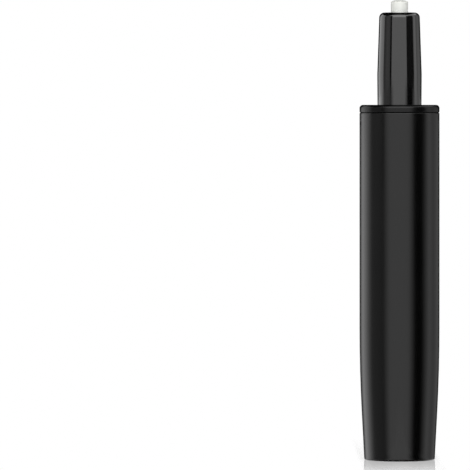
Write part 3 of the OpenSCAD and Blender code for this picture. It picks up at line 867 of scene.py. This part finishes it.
# %% [markdown]
# ## The release button
#
# A white nylon cap sits on the valve's pin and stands out of the spindle; pressing it lets the gas flow.
# A fine groove parts the ring at its foot from the cap, and its top is a shallow crown. A flattened
# sphere could be the crown, but a real one is part of a large ball, through the cap's edge and the small
# flat on top, so its points are worked out from that. The socket for the pin is inside, so the outline
# starts on the axis in the socket and ends on the axis on top.

# %% Button outline
BUTTON_R, BUTTON_FOOT, BUTTON_TOP = span("release_button")
SOCKET_R = 2.55
SOCKET_DEPTH = 5.0
RING_H = 1.2
BUTTON_GROOVE = 0.15
GROOVE_ROUNDING = 0.06
BUTTON_ROUNDING = 0.45
CROWN_H = 1.2
CROWN_FLAT_R = 1.5
CROWN_STEPS = 6

socket_top = BUTTON_FOOT + SOCKET_DEPTH
ring_top = SPINDLE_TOP + RING_H
crown_drop = (BUTTON_R**2 - CROWN_FLAT_R**2 - CROWN_H**2) / (2 * CROWN_H)
crown_r = hypot(BUTTON_R, crown_drop)
crown_z = BUTTON_TOP - CROWN_H - crown_drop
crown_radii = [BUTTON_R + (CROWN_FLAT_R - BUTTON_R) * i / CROWN_STEPS for i in range(1, CROWN_STEPS + 1)]
button_corners = [
    (0.0, socket_top, 0),
    (SOCKET_R, socket_top, EASED),
    (SOCKET_R, BUTTON_FOOT, EASED),
    (BUTTON_R, BUTTON_FOOT, SOFT),
    (BUTTON_R, ring_top, FINE),
    (BUTTON_R - BUTTON_GROOVE, ring_top + BUTTON_GROOVE, GROOVE_ROUNDING),
    (BUTTON_R, ring_top + 2 * BUTTON_GROOVE, FINE),
    (BUTTON_R, BUTTON_TOP - CROWN_H, BUTTON_ROUNDING),
    *[(radius, crown_z + sqrt(crown_r**2 - radius**2), 0) for radius in crown_radii],
    (0.0, BUTTON_TOP, 0),
]
button = turn_piece("push_button", button_corners, "button_nylon", steps=192, closed=False)
seat_piece(button, "release", "release_button")

# %% [markdown]
# ## What shows from below
#
# Seen from underneath, the foot's hole shows a pressed plate with a dish, and in the dish the end of the
# piston rod with its washer and clip. Solidify could give a bent sheet its thickness, but the lathe is at
# hand, and pressed sheet has soft bends, so the plate is one more outline, with generous roundings. The
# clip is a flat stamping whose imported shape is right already; it only gets its finish further down.

# %% Plate outline
PLATE_R, PLATE_LOW, PLATE_SEAT = span("base_plate")
PLATE_T = 3.0
PLATE_HOLE_R = 4.3
DISH_R = 14.0
DISH_SLOPE = tan(radians(18))
DISH_FOOT_R = DISH_R + (PLATE_SEAT - PLATE_T - PLATE_LOW) * DISH_SLOPE
DISH_BEND = 1.2
OUTER_BEND = 1.8
INNER_BEND = 0.8

plate_corners = [
    (PLATE_HOLE_R, PLATE_SEAT - PLATE_T, EASED),
    (DISH_R - PLATE_T, PLATE_SEAT - PLATE_T, DISH_BEND),
    (DISH_FOOT_R - PLATE_T, PLATE_LOW, OUTER_BEND),
    (PLATE_R, PLATE_LOW, SOFT),
    (PLATE_R, PLATE_LOW + PLATE_T, SOFT),
    (DISH_FOOT_R, PLATE_LOW + PLATE_T, INNER_BEND),
    (DISH_R, PLATE_SEAT, DISH_BEND),
    (PLATE_HOLE_R, PLATE_SEAT, EASED),
]
plate = turn_piece("dished_plate", plate_corners, "plate_steel", steps=256)
seat_piece(plate, "column", "base_plate")

# %% Washer outline
WASHER_R, WASHER_LOW, WASHER_TOP = span("thrust_washer")
WASHER_HOLE_R = 4.05

washer_corners = [
    (WASHER_HOLE_R, WASHER_LOW, FINE),
    (WASHER_R, WASHER_LOW, EASED),
    (WASHER_R, WASHER_TOP, FINE),
    (WASHER_HOLE_R, WASHER_TOP, FINE),
]
washer = turn_piece("foot_washer", washer_corners, "plate_steel", steps=192)
seat_piece(washer, "rod", "thrust_washer")

# %% Rod outline
ROD_R, ROD_FOOT, ROD_TOP = span("piston_rod")
_, CLIP_LOW, CLIP_TOP = span("retaining_clip")
_, _, SHOULDER_Z = span("upper_race")
_, PISTON_Z, _ = span("piston")
NECK_STEP = 1.0
NECK_R = ROD_R - NECK_STEP
SPIGOT_STEP = 1.75
SPIGOT_R = ROD_R - SPIGOT_STEP
CLIP_GROOVE = 0.8
CLIP_SEAT_R = NECK_R - CLIP_GROOVE
ROD_CHAMFER = 0.5
HEAD_H = 2.0
HEAD_ROUNDING = 0.8

rod_corners = [
    (0.0, ROD_FOOT, 0),
    (NECK_R - ROD_CHAMFER, ROD_FOOT, SLIGHT),
    (NECK_R, ROD_FOOT + ROD_CHAMFER, SLIGHT),
    (NECK_R, CLIP_LOW, CRISP),
    (CLIP_SEAT_R, CLIP_LOW, CRISP),
    (CLIP_SEAT_R, CLIP_TOP, CRISP),
    (NECK_R, CLIP_TOP, CRISP),
    (NECK_R, SHOULDER_Z, SLIGHT),
    (ROD_R, SHOULDER_Z, EASED),
    (ROD_R, PISTON_Z, SLIGHT),
    (SPIGOT_R, PISTON_Z, SLIGHT),
    (SPIGOT_R, ROD_TOP - HEAD_H, SLIGHT),
    (ROD_R, ROD_TOP - HEAD_H, EASED),
    (SPIGOT_R, ROD_TOP, HEAD_ROUNDING),
    (0.0, ROD_TOP, 0),
]
rod = turn_piece("ground_rod", rod_corners, "rod_chrome", steps=192, closed=False)
seat_piece(rod, "rod", "piston_rod")

# %% [markdown]
# ## The bearing balls
#
# The lift swivels on a ring of steel balls. They are all alike, so one ball is modelled in its place on
# the +X side and the ring tree makes the rest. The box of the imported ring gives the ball's size and the
# circle that they run on. A UV sphere would crowd its faces at the poles, which shows in a polish; the
# faces of an icosphere are even all over.

# %% Ball ring
RING_R, RING_LOW, RING_TOP = span("bearing_balls")
BALL_R = (RING_TOP - RING_LOW) / 2
BALL_COUNT = 9
BALL_SUBDIVISIONS = 4


def ball_mesh():
    """One smooth ball on the +X side."""
    middle = Vector((RING_R - BALL_R, 0.0, RING_LOW + BALL_R)) * MM
    work = bmesh.new()
    bmesh.ops.create_icosphere(work, subdivisions=BALL_SUBDIVISIONS, radius=BALL_R * MM)
    bmesh.ops.translate(work, vec=middle, verts=work.verts)
    for face in work.faces:
        face.smooth = True
    return write_mesh(work, bpy.data.meshes.new("ball_ring"))


balls = new_object("ball_ring", ball_mesh())
run_tree(balls, RING, Count=BALL_COUNT, Finish=finishes["bearing_steel"])
seat_piece(balls, "cage", "bearing_balls")
print(balls.name, "has", len(balls.data.polygons), "faces")

# %% [markdown]
# ## The pieces that stay hidden
#
# Races, cage, bumper, piston, seals and the valve are right as they were packed, and nothing shows of
# them until the lift is taken apart. They could be turned again as well, but nothing would be gained.
# Their meshes are left alone; each takes the finish of its slot in the record.

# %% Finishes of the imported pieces
for subpart in frame["record"]["subparts"]:
    if subpart["node"] not in dressed_nodes:
        for material_slot in frame["nodes"][subpart["node"]].material_slots:
            material_slot.material = finishes[subpart["material_slot"]]
print("Packed pieces that keep their shape:", len(frame["nodes"]) - len(dressed_nodes))

# %% [markdown]
# ## The studio
#
# A black glossy cylinder is a mirror: one doesn't light it so much as choose what it sees. The lift
# stands in a white room, the world at a strength of 1, and cards that the camera can't see draw the dark
# bands. Area lamps could be the bright ones, but the brightness of a card can change along it. A card
# glows on one side only and is clear from behind, so that it doesn't shut out the room.

# %% White world
world = bpy.data.worlds.new("white_room")
bpy.context.scene.world = world
world.use_nodes = True
sky = world.node_tree.nodes["Background"]
sky.inputs["Color"].default_value = (1.0, 1.0, 1.0, 1.0)
sky.inputs["Strength"].default_value = 1.0
bpy.context.scene.view_settings.view_transform = "Standard"
print("View transform:", bpy.context.scene.view_settings.view_transform)


# %% What a card is made of
def start_stage_finish(name):
    """A material without its Principled shader; gives it, its tree and a clear shader."""
    material, tree = new_material(name)
    tree.nodes.remove(tree.nodes["Principled BSDF"])
    return material, tree, tree.nodes.new("ShaderNodeBsdfTransparent").outputs["BSDF"]


def mix(tree, share, first, second):
    """Two shaders mixed, all of the second where the share is 1."""
    return add_node(tree, "ShaderNodeMixShader", {0: share, 1: first, 2: second}).outputs["Shader"]


def show(tree, shader):
    """Makes a shader the one that the material shows."""
    tree.links.new(shader, tree.nodes["Material Output"].inputs["Surface"])


def card_finish():
    """A glow whose brightness comes from the tone stored at the card's points, clear from behind."""
    material, tree, clear = start_stage_finish("card")
    tone = add_node(tree, "ShaderNodeAttribute", attribute_name="tone").outputs["Fac"]
    glow = add_node(tree, "ShaderNodeEmission", {"Strength": tone}).outputs["Emission"]
    behind = tree.nodes.new("ShaderNodeNewGeometry").outputs["Backfacing"]
    show(tree, mix(tree, behind, glow, clear))
    return material


CARD_FINISH = card_finish()
print("Finish:", CARD_FINISH.name)

# %% [markdown]
# Two round curtains hang about the lift: a soft-edged one for the satin column and, above it, a
# hard-edged one for the glossy spindle. Each is written as its brightness at some angles, counted from
# the camera's direction towards the right. Between two of them it changes evenly, as on a diffuser that
# is lit from one side. Behind the lift the lower curtain ends a few degrees short, so that the column's
# very edges mirror the white room.

# %% Hang a card
FOLD_STEP = 2


def hang_card(name, points, faces, tones):
    """A card that only reflections and light see."""
    mesh = bpy.data.meshes.new(name)
    mesh.from_pydata(points, [], faces)
    mesh.attributes.new("tone", "FLOAT", "POINT").data.foreach_set("value", tones)
    mesh.materials.append(CARD_FINISH)
    card = new_object(name, mesh)
    card.visible_camera = False
    print(name, "has", len(faces), "faces")
    return card


def hang_round_card(name, stops, *rims):
    """A round card between two rims, each a radius and a height, from its brightness at some angles.

    Where the brightness stays at the room's 1 it is left open.
    """
    points, tones, faces = [], [], []
    for (start, first), (end, last) in zip(stops, stops[1:]):
        if first == last == 1.0:
            continue
        steps = ceil((end - start) / FOLD_STEP)
        for i in range(steps + 1):
            angle = radians(start + (end - start) * i / steps)
            points += [(radius * sin(angle), -radius * cos(angle), z) for radius, z in rims]
            tones += [first + (last - first) * i / steps] * 2
            if i > 0:
                faces.append([len(points) - back for back in (4, 3, 1, 2)])
    return hang_card(name, points, faces, tones)


print("Round cards fold at least every", FOLD_STEP, "degrees")

# %% Curtains that the paint reflects
CURTAIN_DISTANCE = 1.0
CURTAIN_LOW = -1.2
CURTAIN_SPLIT = COLLAR_TOP * MM
CURTAIN_HIGH = 0.85
COLUMN_CURTAIN = [
    (-174, 0.0), (-150, 0.15), (-132, 1.5), (-114, 1.45), (-88, 0.3), (-60, 0.27), (-48, 0.2), (-30, 1.0),
    (24, 1.0), (43.5, 0.0), (66, 0.0), (92, 0.88), (112, 0.42), (142, 0.34), (152, 0.05), (174, 0.0),
]
SPINDLE_CURTAIN = [
    (-180, 0.0), (-144, 0.0), (-142, 1.0), (-96, 1.05), (-91, 0.15), (-70, 0.4), (-53, 0.33), (-52, 0.0),
    (-44, 0.0), (-43, 1.0), (36.5, 1.0), (37.5, 0.03), (78, 0.03), (82, 0.9), (97, 0.9), (101, 0.42),
    (115, 0.46), (138, 0.18), (146, 0.0), (180, 0.0),
]

low_rim, middle_rim, high_rim = [(CURTAIN_DISTANCE, z) for z in (CURTAIN_LOW, CURTAIN_SPLIT, CURTAIN_HIGH)]
hang_round_card("column_curtain", COLUMN_CURTAIN, low_rim, middle_rim)
hang_round_card("spindle_curtain", SPINDLE_CURTAIN, middle_rim, high_rim)

# %% [markdown]
# Upright cards only reach the upright faces. The roundings on top of the spindle, the collar and the
# tube tip backwards and look up instead: first at a light that hangs in front of the lift, above the
# camera's line of sight, then at a dark ceiling. Each gets a bright line and a dark one above it.

# %% Top light and ceiling
TOP_LIGHT = 2.3
TOP_LIGHT_X = (-0.8, 0.8)
TOP_LIGHT_Y = (-1.1, -0.5)
TOP_LIGHT_Z = (0.5, 1.15)
CEILING_X = (-1.3, 0.5)
CEILING_Y = (-0.35, 1.3)
CEILING_Z = (1.0, 1.0)


def hang_rectangle(name, xs, ys, zs, tone):
    """A flat card that faces down, between two level edges at the given heights."""
    points = [(x, y, z) for y, z in zip(ys, zs) for x in xs]
    hang_card(name, points, [(0, 2, 3, 1)], [tone] * len(points))


hang_rectangle("top_light", TOP_LIGHT_X, TOP_LIGHT_Y, TOP_LIGHT_Z, TOP_LIGHT)
hang_rectangle("ceiling", CEILING_X, CEILING_Y, CEILING_Z, 0.0)

# %% [markdown]
# ## The floor
#
# The lift stands on a pale, polished sheet, which keeps a faint mirror image at a flat viewing angle. A
# wide floor could run to the horizon, but it would never be as white as the room. This one is a strip
# hardly wider than the lift, and it fades into the room towards its rims. A white sheet still renders
# light grey, so a glow is added where the camera, a reflection or a glass looks at it. Its colour and
# glow are painted dark, as a contact shadow, where the foot keeps the light out. It is open under the lift,
# so that the inside of the foot can be lit, and clear from below.

# %% Whiteness and rims of the sheet
FLOOR_WHITE = 0.6
FLOOR_GLOW = 0.78
FLOOR_SOLID = (0.0225, 0.045)
FLOOR_HALF = (0.0265, 0.285)
FLOOR_HOLE = 0.0202


def largest(tree, first, *others):
    """The largest of some values."""
    for other in others:
        first = work_out(tree, "MAXIMUM", first, other)
    return first


def pale_surface(tree, outside_painted_shadow):
    """Matt white with a glow for what looks at it, both faded out by a painted contact shadow where the
    foot keeps the light out.
    """
    rays = tree.nodes.new("ShaderNodeLightPath").outputs
    seen = largest(tree, rays["Is Camera Ray"], rays["Is Glossy Ray"], rays["Is Transmission Ray"])
    lit = work_out(tree, "MULTIPLY", seen, outside_painted_shadow)
    strength = work_out(tree, "MULTIPLY", lit, FLOOR_GLOW)
    white = work_out(tree, "MULTIPLY", outside_painted_shadow, FLOOR_WHITE)
    glow = add_node(tree, "ShaderNodeEmission", {"Strength": strength}).outputs["Emission"]
    matt = add_node(tree, "ShaderNodeBsdfDiffuse", {"Color": white}).outputs["BSDF"]
    return add_node(tree, "ShaderNodeAddShader", {0: matt, 1: glow}).outputs["Shader"]


def clear_share(tree, place, reach):
    """1 where the sheet is clear: past its rims, seen from below, and under the lift."""
    sides = add_node(tree, "ShaderNodeVectorMath", {0: place}, operation="ABSOLUTE").outputs["Vector"]
    side = add_node(tree, "ShaderNodeSeparateXYZ", {"Vector": sides}).outputs
    rim_x = ramp(tree, side["X"], FLOOR_SOLID[0], FLOOR_HALF[0])
    rim_y = ramp(tree, side["Y"], FLOOR_SOLID[1], FLOOR_HALF[1], "LINEAR")
    below = tree.nodes.new("ShaderNodeNewGeometry").outputs["Backfacing"]
    under = work_out(tree, "LESS_THAN", reach, FLOOR_HOLE)
    return largest(tree, rim_x, rim_y, below, under)


print("The sheet is whole up to", FLOOR_SOLID, "m from the axis and gone at", FLOOR_HALF, "m")

# %% What the floor is made of
FLOOR_IOR = 1.09
FLOOR_ROUGHNESS = 0.03
# Reaches from the axis over which the painted contact shadow fades out, in metres.
CONTACT = (0.0232, 0.0290)
CONTACT_SQUEEZE = (1.28, 1.0, 0.0)


def floor_finish():
    """A pale polished sheet with a painted contact shadow round the axis, by a reach that counts more
    across than along.
    """
    material, tree, clear = start_stage_finish("pale_sheet")
    place = tree.nodes.new("ShaderNodeTexCoord").outputs["Object"]
    stretch = {0: place, 1: CONTACT_SQUEEZE}
    squeezed = add_node(tree, "ShaderNodeVectorMath", stretch, operation="MULTIPLY").outputs["Vector"]
    reach = add_node(tree, "ShaderNodeVectorMath", {0: squeezed}, operation="LENGTH").outputs["Value"]
    # The ramp over CONTACT paints the foot's contact shadow into the sheet's colour and glow.
    surface = pale_surface(tree, ramp(tree, reach, *CONTACT))
    polish = add_node(tree, "ShaderNodeBsdfGlossy", {"Roughness": FLOOR_ROUGHNESS}).outputs["BSDF"]
    gleam = add_node(tree, "ShaderNodeFresnel", {"IOR": FLOOR_IOR}).outputs["Fac"]
    polished = mix(tree, gleam, surface, polish)
    show(tree, mix(tree, clear_share(tree, place, reach), polished, clear))
    return material


FLOOR_FINISH = floor_finish()
print("Finish:", FLOOR_FINISH.name, "with", len(FLOOR_FINISH.node_tree.nodes), "nodes")

# %% Floor sheet
FLOOR_DROP = 0.00005

x, y = FLOOR_HALF
floor_mesh = bpy.data.meshes.new("floor")
floor_corners = [(-x, -y, -FLOOR_DROP), (x, -y, -FLOOR_DROP), (x, y, -FLOOR_DROP), (-x, y, -FLOOR_DROP)]
floor_mesh.from_pydata(floor_corners, [], [range(4)])
floor_mesh.materials.append(FLOOR_FINISH)
floor = new_object("floor", floor_mesh)
print("Floor:", [2 * half for half in FLOOR_HALF], "m")

# %% [markdown]
# Just above the ground the paint would mirror this sheet instead of the curtain, and the dark bands would
# end in the air. A flat card round the foot carries them on: it has the curtain's brightness, at angles
# that are smaller because it lies so close. Only mirror images see it, so the sheet stays as it is.

# %% Card round the foot
FOOT_CARD_R = (0.0245, 0.045)
FOOT_CARD_Z = 0.00002
FOOT_CARD_SHARE = 0.67
FOOT_CARD_REACH = 92

front_stops = [(angle, tone) for angle, tone in COLUMN_CURTAIN if abs(angle) <= FOOT_CARD_REACH]
foot_stops = [(angle * FOOT_CARD_SHARE, tone) for angle, tone in front_stops]
foot_card = hang_round_card("foot_card", foot_stops, *[(radius, FOOT_CARD_Z) for radius in FOOT_CARD_R])
foot_card.visible_diffuse = False
foot_card.visible_transmission = False
foot_card.visible_shadow = False

# %% [markdown]
# ## The camera
#
# The photo is taken with a long lens from just below the collar's top: the seam under the collar is a
# straight line, and the foot curves as it does when one looks down on it by three degrees. One could
# drag the camera until the picture fits. Here the frame is as wide as the photo's pixels at the column's
# scale, and the lens follows from that and the distance. A tiny roll levels it with the photo.

# %% Camera
from mathutils import Quaternion

PHOTO_SIDE_PX = 470
COLUMN_WIDTH_PX = 79.93
AXIS_PX = 399.5
COLLAR_TOP_PX = 104.95
CAMERA_DISTANCE = 4.38
EYE_DROP = 0.0023
ROLL = radians(-0.024)

pixel = 2 * COLUMN_R * MM / COLUMN_WIDTH_PX
aim_x = (PHOTO_SIDE_PX / 2 - AXIS_PX) * pixel
aim_z = COLLAR_TOP * MM - (PHOTO_SIDE_PX / 2 - COLLAR_TOP_PX) * pixel
aim = Vector((aim_x, 0.0, aim_z))
lens = bpy.data.cameras.new("camera")
camera = new_object("camera", lens)
camera.location = (aim.x, -CAMERA_DISTANCE, COLLAR_TOP * MM - EYE_DROP)
facing = (aim - camera.location).to_track_quat("-Z", "Y")
camera.rotation_euler = (facing @ Quaternion((0.0, 0.0, 1.0), ROLL)).to_euler()
lens.lens = lens.sensor_width * (aim - camera.location).length / (PHOTO_SIDE_PX * pixel)
bpy.context.scene.camera = camera
print("Lens:", round(lens.lens, 1), "mm")

# %% [markdown]
# ## The last cell
#
# The finer skins must not change the lift's size.

# %% Last cell
import json
